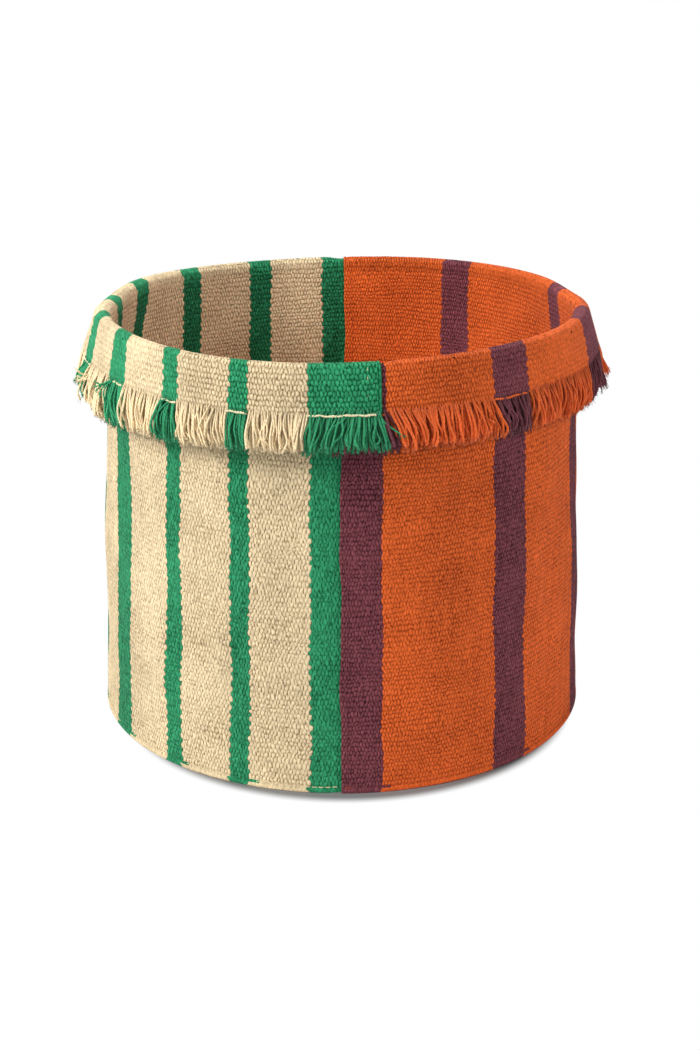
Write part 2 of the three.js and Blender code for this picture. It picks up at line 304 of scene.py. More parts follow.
def tubes(paths, radii, sides):
    """Closed round tubes along many paths at once. At each point of a path a ring of the given
    radius stands square to the path's direction. Its own two axes are the sideways direction of
    the basket there, made square to the path, and the cross product of both. Returns points,
    faces, and for each point its share of the way round and its length along the path."""
    count, stops, _ = paths.shape
    along = np.gradient(paths, axis=1)
    along /= np.linalg.norm(along, axis=-1, keepdims=True)
    outwards = paths * [1, 1, 0]
    outwards /= np.linalg.norm(outwards, axis=-1, keepdims=True)
    sideways = np.cross(outwards, [0, 0, 1])
    upright = np.abs(np.einsum("ijk,ijk->ij", along, sideways)) > 0.75
    sideways = np.where(upright[..., None], np.cross(sideways, outwards), sideways)
    across = sideways - along * np.einsum("ijk,ijk->ij", along, sideways)[..., None]
    across /= np.linalg.norm(across, axis=-1, keepdims=True)
    third = np.cross(along, across)
    steps = np.linalg.norm(np.diff(paths, axis=1), axis=-1)
    length = np.concatenate([np.zeros((count, 1)), np.cumsum(steps, 1)], 1)
    angle = (2 * math.pi * np.arange(sides) / sides)[:, None]
    ring = across[:, :, None] * np.cos(angle) + third[:, :, None] * np.sin(angle)
    points = paths[:, :, None] + ring * np.broadcast_to(radii, (count, stops))[:, :, None, None]
    one = grid_faces(stops, sides, closed=True)
    shift = (np.arange(count) * stops * sides)[:, None, None]
    walls = (one + shift).reshape(-1, 4)
    ends = np.stack([np.arange(sides)[::-1], np.arange(sides) + (stops - 1) * sides])
    caps = (ends + shift).reshape(-1, sides)
    around = np.broadcast_to(np.arange(sides) / sides, points.shape[:3])
    reach = np.broadcast_to(length[..., None], points.shape[:3])
    return points, turned_out(points, [walls, caps]), np.stack([around, reach], -1)


# Node maths

class Value:
    """A number socket in a node tree, used in Python expressions."""

    def __init__(self, finish, socket):
        self.finish = finish
        self.socket = socket

    def __add__(self, other):
        return self.finish.math("ADD", self, other)

    def __sub__(self, other):
        return self.finish.math("SUBTRACT", self, other)

    def __mul__(self, other):
        return self.finish.math("MULTIPLY", self, other)

    def __truediv__(self, other):
        return self.finish.math("DIVIDE", self, other)

    def __radd__(self, other):
        return self.finish.math("ADD", other, self)

    def __rsub__(self, other):
        return self.finish.math("SUBTRACT", other, self)

    def __rmul__(self, other):
        return self.finish.math("MULTIPLY", other, self)

    def __rtruediv__(self, other):
        return self.finish.math("DIVIDE", other, self)

    def __gt__(self, other):
        return self.finish.math("GREATER_THAN", self, other)


class Finish:
    """One material and the tools to write its nodes."""

    def __init__(self, name, roughness, sheen=0.0):
        self.material = bpy.data.materials.new(name)
        self.material.use_nodes = True
        self.tree = self.material.node_tree
        self.shader = next(n for n in self.tree.nodes if n.type == "BSDF_PRINCIPLED")
        self.shader.inputs["Roughness"].default_value = roughness
        self.shader.inputs["Sheen Weight"].default_value = sheen
        self.shader.inputs["Specular IOR Level"].default_value = 0.05

    def node(self, kind, inputs=None, stops=None, **settings):
        """Makes a node: its type, then its settings and ramp stops, then its sockets' values."""
        made = self.tree.nodes.new(kind)
        for key, value in settings.items():
            setattr(made, key, value)
        if stops:
            ramp = made.color_ramp
            ramp.interpolation = "CONSTANT"
            for place, shade in stops[2:]:
                ramp.elements.new(place)
            for element, (place, shade) in zip(ramp.elements, stops):
                element.position = place
                element.color = (shade, shade, shade, 1)
        for key, value in (inputs or {}).items():
            if isinstance(value, Value):
                self.tree.links.new(value.socket, made.inputs[key])
            else:
                made.inputs[key].default_value = value
        return made

    def math(self, operation, *values):
        made = self.node("ShaderNodeMath", dict(enumerate(values)), operation=operation)
        return Value(self, made.outputs[0])

    def smooth(self, value, low, high):
        made = self.node(
            "ShaderNodeMapRange",
            {"Value": value, "From Min": low, "From Max": high},
            interpolation_type="SMOOTHSTEP",
        )
        return Value(self, made.outputs["Result"])

    def mix(self, factor, a, b, blend="MIX"):
        made = self.node("ShaderNodeMix", {0: factor, 6: a, 7: b}, data_type="RGBA", blend_type=blend)
        return Value(self, made.outputs[2])

    def shaded(self, colour, brightness):
        """The colour times a brightness."""
        grey = self.vector(brightness, brightness, brightness)
        return self.mix(1.0, colour, grey, "MULTIPLY")

    def vector(self, x, y, z=0.0):
        made = self.node("ShaderNodeCombineXYZ", {0: x, 1: y, 2: z})
        return Value(self, made.outputs[0])

    def parts(self, vector):
        """The three numbers of a vector."""
        made = self.node("ShaderNodeSeparateXYZ", {0: vector})
        return [Value(self, socket) for socket in made.outputs]

    def uv(self, label):
        made = self.node("ShaderNodeUVMap", uv_map=label)
        return self.parts(Value(self, made.outputs[0]))[:2]

    def place(self):
        """Object coordinates, in metres."""
        made = self.node("ShaderNodeTexCoord")
        return Value(self, made.outputs["Object"])

    def noise(self, vector, scale, detail=2.0):
        made = self.node("ShaderNodeTexNoise", {"Vector": vector, "Scale": scale, "Detail": detail})
        return Value(self, made.outputs["Fac"])

    def chance(self, vector):
        made = self.node("ShaderNodeTexWhiteNoise", {"Vector": vector}, noise_dimensions="3D")
        return Value(self, made.outputs["Value"])

    def colour(self, value):
        self.tree.links.new(value.socket, self.shader.inputs["Base Color"])

    def relief(self, height, depth):
        made = self.node("ShaderNodeBump", {"Height": height, "Distance": depth, "Strength": 1.0})
        self.tree.links.new(made.outputs[0], self.shader.inputs["Normal"])


def rgb(red, green, blue):
    """A colour that is seen as these 0 to 255 values, as linear light."""
    share = np.array([red, green, blue]) / 255
    linear = np.where(share <= 0.04045, share / 12.92, ((share + 0.055) / 1.055) ** 2.4)
    return (*linear, 1)


# Each yarn's colour on top of a float and in the gap beside it, which is partly painted shade
YARNS = {
    "cream": (rgb(228, 207, 168), rgb(160, 128, 88)),
    "green": (rgb(50, 143, 98), rgb(8, 96, 57)),
    "orange": (rgb(222, 101, 45), rgb(144, 38, 0)),
    "purple": (rgb(118, 62, 70), rgb(52, 18, 26)),
    "rust": (rgb(168, 66, 24), rgb(96, 30, 8)),
    "pale": (rgb(232, 220, 182), rgb(196, 176, 130)),
}
YARN_TWIST = 3.4 * MM
THREAD_TWIST = 2.2 * MM


def stripe_stops(panel):
    """Ramp stops along the panel: 0 on the ground, 1 on a stripe."""
    edges = [stop for low, high in panel.stripes for stop in ((low, 1.0), (high, 0.0))]
    first = 1.0 if panel.stripes[0][0] <= 0 else 0.0
    return [(0.0, first)] + [stop for stop in edges if 0 < stop[0] < 1]


def stripe_mask(finish, panel, share):
    """1 on a stripe, else 0, from the share of the way round the panel."""
    ramp = finish.node("ShaderNodeValToRGB", {"Fac": share}, stops=stripe_stops(panel))
    return Value(finish, ramp.outputs["Color"])


# How the cream and green weave looks, and the orange and purple one
LOOKS = {
    "cells": (1.09, 1.25),  # floats to a cell of the mesh
    "rows": (1.0, 1.07),  # rows of floats to a row of the mesh
    "taper": (8.4, 12.0),  # how steeply a float ends outside
    "blur": (0.0, 0.3),  # how far a stripe's edge leaves its teeth
    "gaps": (1.05, 0.8),  # how dark the gaps are outside, partly painted shade
    "ribs": (0.92, 0.8),  # and inside and on the cuff
    "level": (0.9, 0.945),  # brightness outside
    "stripe": (0.12, 0.06),  # how much darker the stripes are
    "cuff": (0.12, 0.17),  # painted shade: how much darker the cuff is
    "inside": (0.035, 0.13),  # painted light: how much lighter the inside is
    "shade": (0.24, -0.24),  # painted light: how much darker the stripes are inside
}
CREAM_LOOK, ORANGE_LOOK = ({key: pair[k] for key, pair in LOOKS.items()} for k in (0, 1))
RIB_TAPER = 11.0
HEM_ROWS = 2.45
STRIPE_REACH = 3.0


def crest_and_gap(finish, mask, ground, stripe):
    """The colour on top of a float and the one in its gap, partly painted shade, on the ground or
    on a stripe.
    """
    return [finish.mix(mask, YARNS[ground][k], YARNS[stripe][k]) for k in (0, 1)]


def weave_noise(finish, place, stretch, layer, detail=2.0):
    """Noise from -0.5 to 0.5 on a place in the weave, stretched across and along. The layer picks
    another part of the noise."""
    across, along = place
    spot = finish.vector(across * stretch[0], along * stretch[1], layer)
    return finish.noise(spot, 1.0, detail) - 0.5


def top_float(finish, across, along, side, lean, taper):
    """The float that lies on top: its height at this place, its column, and a chance of its own.
    Floats are rounded blocks in brick order: two lattices, one moved by half a cell and one row,
    and the higher float wins. With x and y from a float's middle and s = (2 x)^2, its height falls
    by s (0.35 + 0.65 s) across, times its own steepness, and by taper y^2 along. So the gaps are
    short upright dashes."""
    ribbed, outside = side
    lattices = []
    for shift in (0.0, 0.5):
        a = across + shift
        b = along * 0.5 + shift
        column = finish.math("ROUND", a)
        row = finish.math("ROUND", b)
        y = b - row
        x = (a - column) - y * lean
        each = finish.chance(finish.vector(column - shift, row - shift, 3.0 + outside))
        square = x * x * 4
        steep = (0.8 + each * 0.7) * square * (0.35 + square * 0.65)
        height = 0.9 + each * (0.3 - ribbed * 0.16) - steep - y * y * taper
        lattices.append((height, column - shift, each))
    (first, column_1, each_1), (second, column_2, each_2) = lattices
    above = second > first
    height = finish.math("SMOOTH_MAX", first, second, 0.4)
    return height, column_1 + (column_2 - column_1) * above, each_1 + (each_2 - each_1) * above


def woven_finish(name, panel, ground, stripe, look):
    """Warp-faced cloth of floats in brick order, with fibres and stray floats from noise. A float
    has the one colour of its warp end, so stripes get toothed edges. The face that shows inside and
    on the cuff, the ribbed one, has clearer rows than the fuzzy outside. On the cuff the sides of
    the basket are calmer and each side edge is a plain cord. Along the foot runs a smooth hem, and
    on its seam a stripe reaches a few floats further. Between the rows runs a shallow valley. The
    colour holds painted shade in the gaps between floats, in the valleys, along the foot seam and
    over the cuff, and painted light on the inside and on the cuff's sides."""
    finish = Finish(name, roughness=0.95, sheen=0.05)
    across, along = finish.uv("weave")
    ribbed, outside = finish.uv("side")

    # Where this place is
    cells = panel.cells * look["cells"]
    across = across * look["cells"]
    from_edge = finish.math("MINIMUM", across, cells - across)
    from_middle = finish.math("ABSOLUTE", finish.parts(finish.place())[0])
    on_cuff = along > WALL_ROWS - 1.0
    calm = finish.smooth(from_middle, 0.09, 0.17) * on_cuff
    on_edge = finish.smooth(from_edge, 0.9, 0.7) * on_cuff
    on_hem = finish.smooth(along, HEM_ROWS + 0.25, HEM_ROWS - 0.25) * outside
    on_seam = (0.3 - finish.math("ABSOLUTE", along - (1 + SEAM_ROW)) > 0.0) * outside
    along = along * look["rows"]
    notch = finish.math("PINGPONG", along, 0.5)

    # Noise of the weave's own size
    place = (across, along)
    wander = weave_noise(finish, place, (0.16, 0.16), outside * 9)
    jitter = weave_noise(finish, place, (0.9, 0.9), 7.0 + outside)
    fibre = weave_noise(finish, place, (6.0, 1.8), outside * 5, 3.0)
    coarse = weave_noise(finish, place, (2.0, 1.3), 4.0 + outside)
    ragged = weave_noise(finish, place, (3.1, 2.3), 2.0 + outside)
    grain = fibre * 0.6 + coarse * 0.9

    # Height of the weave
    across = across + wander * 0.4 + jitter * (0.5 - ribbed * 0.12) + ragged * 0.38 + on_hem * 0.5
    along = along + wander * 0.25 + jitter * 0.26 + ragged * 0.34
    valley = finish.smooth(finish.math("PINGPONG", along, 0.5), 0.25, 0.5) * (1 - on_hem)
    lean = 0.05 + wander * 0.4
    taper = look["taper"] + ribbed * (RIB_TAPER - look["taper"])
    height, column, each = top_float(finish, across, along, (ribbed, outside), lean, taper)
    off_cord = from_edge - 0.38
    cord = 0.4 - off_cord * off_cord * 5.0 + notch * 0.7
    height = height + (cord - height) * on_edge
    height = height + (0.75 - height) * (on_hem * 0.6 + calm * 0.5)
    finish.relief(finish.math("MAXIMUM", height - valley * 0.15, -0.3) + grain * 0.8, 0.62 * MM)

    # Stripes, and the colour of crests and gaps
    toothed = column + (across - column) * look["blur"]
    further = stripe_mask(finish, panel, (column - STRIPE_REACH) / cells) * on_seam
    mask = finish.math("MAXIMUM", stripe_mask(finish, panel, toothed / cells), further)
    thread = finish.chance(finish.vector(column, 11.0, 5.0))
    tall = finish.node("ShaderNodeMapping", {0: finish.place(), 3: (1, 1, 0.5)})
    patch = finish.noise(Value(finish, tall.outputs[0]), 17.0, 3.0) - 0.5
    soft = finish.noise(finish.place(), 31.0, 2.0) - 0.5
    crest, gap = crest_and_gap(finish, mask, ground, stripe)
    gaps = look["gaps"] + ribbed * (look["ribs"] - look["gaps"])
    # The gap colour beside a float is partly the yarn's own and partly painted shade; gaps sets how
    # much
    cover = finish.smooth(height + grain * 1.2 + soft * 0.5, -0.35, 0.95)
    cover = 1 - (1 - cover) * gaps * (1 + mask * 0.3)

    # Brightness: each float and warp end, broad and small patches, fibres, then painted light and shade
    # on the faces
    bright = look["level"] + each * (0.13 + mask * 0.2) + thread * 0.06 + patch * 0.5 + soft * 0.2
    bright = bright + fibre * (0.6 + mask * 0.4) + coarse * (0.7 + mask * 0.3)
    # Painted light: the ribbed face a little lighter and the cuff's sides lighter. Painted shade: along
    # the foot seam's groove and in the valleys between rows.
    bright = bright + ribbed * 0.03 + calm * 0.08 - on_seam * 0.1 - valley * 0.06
    # Painted shade: the cuff darker, its stripes less so. The stripes' own colour is darker too.
    bright = bright - on_cuff * look["cuff"] - mask * (look["stripe"] - on_cuff * 0.13)
    # Painted light: the inside lighter, by another amount on its stripes
    bright = bright + ribbed * (1 - on_cuff) * (look["inside"] - mask * look["shade"])
    # Painted shade in the gaps between floats, lighter on the calm sides of the cuff
    pit_shade = finish.smooth(height + grain * 1.5 + soft * 0.5, 0.4, -0.15)
    bright = bright * (1 - pit_shade * (gaps * 0.36) * (1 - calm * 0.4))
    finish.colour(finish.shaded(finish.mix(cover, gap, crest), bright))
    return finish.material


def yarn_finish(name, panel, ground, stripe, level, shade):
    """Two-ply yarn. Its plies are humps of 1 - (2 x)^2 across a screw line, and the groove between
    them takes the gap colour, partly painted shade. The warp end's place in the cloth gives its
    colour. Strands that hang deep inside the fringe get painted shade, so do their roots, and the
    frayed tips get a painted highlight. The stripes are darker by the given shade."""
    finish = Finish(name, roughness=0.9, sheen=0.12)
    cell, number = finish.uv("weave")
    around, reach = finish.uv("ply")
    inner_shade, share = finish.uv("strand")
    screw = around * 2 + reach / YARN_TWIST
    x = screw - finish.math("ROUND", screw)
    hump = 1 - x * x * 4
    fibre = finish.noise(finish.vector(screw * 5, reach * 500, number), 1.0, 3.0) - 0.5
    mask = stripe_mask(finish, panel, cell / panel.cells)
    each = finish.chance(finish.vector(number, 2.0, 9.0))
    crest, gap = crest_and_gap(finish, mask, ground, stripe)
    cover = finish.smooth(hump + fibre * 0.7, -0.6, 0.6)
    # Painted shade on the inner strands
    bright = level + each * 0.16 + fibre * 0.45 - inner_shade * 0.34 - mask * shade
    # Painted highlight on a strand's lowest part, and painted shade at its root under the cuff
    bright = bright + finish.smooth(share, 0.7, 1.0) * 0.12 - finish.smooth(share, 0.4, 0.0) * 0.3
    finish.colour(finish.shaded(finish.mix(cover, gap, crest), bright))
    finish.relief(hump + fibre * 0.6, 0.3 * MM)
    return finish.material


def thread_finish(name, yarn):
    """Plain sewing thread or a single ply, with a twist and fine fibres."""
    finish = Finish(name, roughness=0.8, sheen=0.1)
    around, reach = finish.uv("ply")
    screw = around * 3 + reach / THREAD_TWIST
    x = screw - finish.math("ROUND", screw)
    hump = 1 - x * x * 4
    fibre = finish.noise(finish.vector(around * 9, reach * 900), 1.0, 2.0) - 0.5
    # The groove of the twist takes the darker gap colour, partly painted shade
    finish.colour(finish.mix(finish.smooth(hump + fibre * 0.5, -0.9, 0.4), yarn[1], yarn[0]))
    finish.relief(hump + fibre * 0.5, 0.12 * MM)
    return finish.material


# The panels

def at_lap(turn, front, back):
    """The front lap's value in the basket's front half, and the back lap's behind."""
    return np.where(np.cos(turn) > 0, front, back)


def hidden_by_lap(panel, turn):
    """How far each face is covered by the other cloth, 0 to 1: (face into the basket, outer face)."""
    share = panel.lift(turn) / at_lap(turn, FRONT_STEP, BACK_STEP)
    return smooth(-share), smooth(share)


def lies_under(panel, turn):
    """True where the cuff has the other cloth's cuff on it."""
    return -panel.lift(turn) > 0.999 * at_lap(turn, FRONT_STEP, BACK_STEP)


def half_cloth(panel, turn):
    """Half of the cloth's thickness, which is less where two cloths press each other."""
    pressed = 1 - at_lap(turn, FRONT_PRESS, BACK_PRESS)
    return CLOTH / 2 * (1 - pressed * np.maximum(*hidden_by_lap(panel, turn)))


def side_bead(from_edge):
    """A cord-like bead along a cloth's side edge, and the groove beside it."""
    bead = 0.3 * MM * bump_at(from_edge, 1.3 * MM, 1.2 * MM)
    return bead - 0.5 * MM * bump_at(from_edge, 3.2 * MM, 1 * MM)


def foot_hem(height):
    """The rolled hem at the foot, and the groove into which the seam pulls it."""
    hem = 0.6 * MM * bump_at(height, 2.4 * MM, 2.2 * MM)
    return hem - 0.6 * MM * bump_at(height, FOOT_SEAM, 0.9 * MM)


def panel_cloth(panel, material):
    """The cloth as two parallel grids, joined along all four edges. Columns are half a cell apart
    and rows are one row apart, closer at the foot and round the roll. Low lumps go up and down with
    cos(pi (2 cell + row)), and points stray a little along the cloth. At the side edges, at the foot
    and at the fringe the cloth gets thinner."""
    column = np.arange(2 * panel.cells + 1) / 2
    foot_rows = np.array([0, 0.35, 0.8, 1.25, 1.5])
    roll_rows = WALL_ROWS + np.arange(1, 3 * ROLL_ROWS) / 3
    cuff_rows = np.arange(WALL_ROWS + ROLL_ROWS, LAST_ROW + 1)
    row = np.concatenate([foot_rows, np.arange(2, WALL_ROWS + 1), roll_rows, cuff_rows])
    cell, place = np.meshgrid(column, row)
    turn = panel.turn_at(cell)
    height = place * WALL_ROW
    from_edge = np.minimum(cell, panel.cells - cell) * CELL
    brick = np.cos(math.pi * (2 * cell + place)) * (place >= 2)
    in_weave = smooth((from_edge - 3.5 * MM) / (2 * MM)) * smooth((LAST_ROW - place) / 1.5)
    lump = LUMP * random.uniform(0.4, 1.3, (2, *cell.shape)) * in_weave
    stray = random.normal(0, 0.17, (4, *cell.shape)) * in_weave * (place < LAST_ROW - 1)

    covered_in, covered_out = hidden_by_lap(panel, turn)
    on_cuff = place > WALL_ROWS + 1
    bead = side_bead(from_edge)
    inward = brick * lump[0] * smooth((height - 0.018) / 0.01) + bead * on_cuff
    inward = inward * (1 - covered_in)
    outward = -brick * lump[1] * smooth((height - FOOT_SEAM) / (2.5 * MM)) + bead * 0.3
    outward = (outward * ~on_cuff + foot_hem(height)) * (1 - covered_out)
    thin = np.ones_like(cell)
    thin[:, [0, -1]] *= 0.55
    thin[[0, -1]] *= 0.6

    half = half_cloth(panel, turn)
    away = [turn + part * CELL / 2 / MIDDLE_RADIUS for part in stray[:2]]
    along = [np.where(place > 2, place + part * 0.8, place) for part in stray[2:]]
    face = cloth_line(panel, away[0], along[0], (half + inward) * thin)
    back = cloth_line(panel, away[1], along[1], -(half + outward) * thin)
    points = np.stack([face, back])
    rows, columns = cell.shape
    k = np.arange(rows * columns).reshape(rows, columns)
    rim = np.concatenate([k[0], k[1:, -1], k[-1, -2::-1], k[-2:0:-1, 0]])
    far_rim = rim + rows * columns
    edge = np.stack([rim, np.roll(rim, -1), np.roll(far_rim, -1), far_rim], -1)
    faces = [grid_faces(rows, columns)[:, ::-1], grid_faces(rows, columns, rows * columns), edge]

    # A yarn that is up on one face is down on the other, so the far face is one row on
    none = np.zeros_like(cell)
    maps = {
        "weave": np.stack([np.stack([cell, place], -1), np.stack([cell, place + 1], -1)]),
        "side": np.stack([np.stack([none + 1, none], -1), np.stack([none, none + 1], -1)]),
    }
    return piece(panel.name + "_cloth", points, turned_out(points, faces), maps, material)


cream_weave = woven_finish("cream green cloth", cream_panel, "cream", "green", CREAM_LOOK)
orange_weave = woven_finish("orange purple cloth", orange_panel, "orange", "purple", ORANGE_LOOK)
cream_cloth = panel_cloth(cream_panel, cream_weave)
orange_cloth = panel_cloth(orange_panel, orange_weave)


# The fringe

# How far the strands' ends lean to the viewer's right in mm, by turn in degrees
LEAN = np.array([
    (-180, 0), (-100, 0), (-80, 0), (-66, -2), (-61, -2), (-57, 0), (-54, 2), (-47, 3), (-44, 0),
    (-41, -3), (-38, -3), (-35, 1), (-30, 2), (-25, 1), (-22, -1), (-18, 0), (-15, 2), (-12, 1.5),
    (-9.5, 0), (-8, -3), (-3, -8), (0, -9), (3, -6), (5, 1), (7, 6), (9, 11), (11, 11), (13, 7),
    (15, 7), (17, 1), (21, 3), (24, 3.5), (27, 1), (29, 8), (31.5, 11), (34, 11), (36, 5), (39, 1),
    (43, 2), (46, 3), (50, 1), (60, 0), (180, 0),
])
INNER_STRANDS = 3  # to a cell
OUTER_STRANDS = 2
STRAND_LENGTH = 28.5 * MM
STRAND_RADIUS = 0.97 * MM
STRAY_RADIUS = 0.62 * MM
HAIR_RADIUS = 0.21 * MM
HAIRS = 10  # to a strand
STOPS = 9  # points along a strand
STRAND_SIDES = 5
HAIR_SIDES = 3

# Strands that stray: their turn in degrees, then points from the root as mm to the viewer's right,
# outwards and down
STRAYS = {
    "cream_green": [
        (7.4, (4, 2.5, 7), (11, 4, 12), (18, 4, 17)),
        (6.6, (5, 3, 12), (9, 4, 18), (7, 4, 24)),
        (5.6, (5, 4, 14), (8, 4, 20), (3, 4, 23)),
        (1.4, (-5, 3.5, 4), (-13, 4, 9), (-18, 4, 15)),
        (-0.6, (-4, 3, 6), (-8, 4, 15), (-9, 4, 22)),
        (3.0, (-5, 3, 7), (-9, 4, 15), (-9, 4, 20)),
        (-41.0, (-5, 3, 1), (-8, 5, 6), (-9, 5, 10)),
        (-40.3, (-4, 4, 4), (-8, 5, 9), (-11, 5, 10)),
        (-40.6, (-4, 3, 8), (-7, 4, 14), (-6, 4, 20)),
        (-63.0, (-3, 5, 2), (-6, 9, 4), (-9, 12, 1)),
        (-63.4, (-3, 5, 2), (-6, 8, 5), (-10, 12, 6)),
        (-63.2, (-3, 5, 3), (-6, 8, 8), (-9, 8, 15)),
        (-62.6, (-3, 5, 3), (-5, 8, 10), (-5, 6, 19)),
        (-63.8, (-2, 5, 3), (-6, 8, 6), (-12, 9, 11)),
        (-84.4, (0, 4, 8), (-1, 9, 12), (-1, 12, 16)),
        (-85.4, (0, 4, 8), (0, 8, 13), (-1, 11, 19)),
        (-86.0, (0, 4, 9), (0, 8, 14), (0, 9, 20)),
        (-81.6, (0, 4, 6), (0, 7, 14), (0, 7, 23)),
        (-82.1, (0, 4, 5), (0, 8, 13), (0, 8, 22)),
        (-82.6, (0, 5, 6), (0, 9, 12), (0, 9, 20)),
        (-83.1, (0, 5, 5), (0, 9, 12), (0, 9, 22)),
        (-83.6, (0, 5, 5), (0, 9, 11), (0, 10, 18)),
        (-84.0, (0, 4, 4), (0, 9, 10), (0, 9, 17)),
        (-84.8, (0, 4, 4), (0, 9, 9), (0, 10, 15)),
        (-77.5, (-1, 4, 9), (-2, 9, 9), (-4, 14, 6)),
        (-78.5, (-1, 4, 10), (-2, 9, 11), (-4, 14, 10)),
        (-79.5, (-1, 4, 9), (-2, 8, 10), (-4, 12, 13)),
        (-80.2, (-1, 3, 8), (-2, 8, 8), (-3, 13, 2)),
    ],
    "orange_purple": [
        (31.0, (4, 3, 8), (10, 4, 13), (17, 5, 17)),
        (33.5, (5, 3, 9), (11, 4, 18), (14, 4, 24)),
        (24.0, (2, 3, 11), (4, 4, 19), (9, 5, 21)),
        (26.5, (2, 3, 9), (5, 4, 16), (8, 5, 22)),
        (19.0, (1, 3, 12), (4, 4, 20), (9, 5, 22)),
        (14.0, (4, 3, 8), (8, 4, 17), (8, 4, 24)),
        (76.5, (1, 2, 9), (2, 3, 20), (6, 5, 32)),
        (77.5, (1, 2, 9), (2, 4, 20), (7, 6, 31)),
        (78.7, (0, 2, 10), (1, 4, 21), (6, 8, 32)),
        (79.8, (0, 2, 9), (1, 4, 20), (5, 8, 30)),
        (83.0, (0, 2, 8), (0, 6, 16), (1, 9, 24)),
        (84.5, (0, 2, 9), (0, 7, 18), (0, 10, 26)),
        (86.0, (0, 2, 10), (0, 7, 18), (1, 12, 27)),
        (87.5, (0, 2, 11), (0, 8, 21), (-1, 10, 30)),
        (89.0, (0, 3, 12), (0, 7, 20), (1, 12, 30)),
        (90.5, (0, 3, 13), (0, 9, 23), (0, 11, 34)),
    ],
}


def stray_paths(panel):
    """Cells of the strays' roots, and their paths: points spread evenly along a polyline from the
    root, whose inner points are then rounded by a weight of 1, 2, 1 with their neighbours."""
    turns = np.radians([entry[0] for entry in STRAYS[panel.name]])
    root = cloth_line(panel, turns, LAST_ROW - 0.2, 1.2 * MM)
    corners = np.array([[(0, 0, 0), *entry[1:]] for entry in STRAYS[panel.name]], float) * MM
    place = np.linspace(0, corners.shape[1] - 1, STOPS)
    low = np.minimum(place.astype(int), corners.shape[1] - 2)
    part = (place - low)[None, :, None]
    moved = corners[:, low] * (1 - part) + corners[:, low + 1] * part
    rounded = moved.copy()
    rounded[:, 1:-1] = (moved[:, :-2] + 2 * moved[:, 1:-1] + moved[:, 2:]) / 4
    seen = np.arctan2(root[:, 0], -root[:, 1])[:, None]
    x = root[:, :1] + rounded[..., 0] * np.cos(seen) + rounded[..., 1] * np.sin(seen)
    y = root[:, 1:2] + rounded[..., 0] * np.sin(seen) - rounded[..., 1] * np.cos(seen)
    return panel.cell_at(turns), np.stack([x, y, root[:, 2:] - rounded[..., 2]], -1)


def strand_roots(panel):
    """Cell of each strand's root and whether it is an outer one, 1 or 0. A strand's place in its
    cell strays a little, and more for the outer ones."""
    each_cell = np.concatenate([(np.arange(n) + 0.5) / n for n in (INNER_STRANDS, OUTER_STRANDS)])
    is_outer = np.repeat([0.0, 1.0], [INNER_STRANDS, OUTER_STRANDS])
    order = np.argsort(each_cell, kind="stable")
    cells = panel.cells - 1
    outer = np.tile(is_outer[order], cells)
    cell = np.repeat(np.arange(cells), len(order)) + np.tile(each_cell[order], cells) + 0.5
    cell = cell + random.normal(0, 0.05, len(cell)) * (1 + 2 * outer)
    return np.clip(cell, 0.5, panel.cells - 0.5), outer


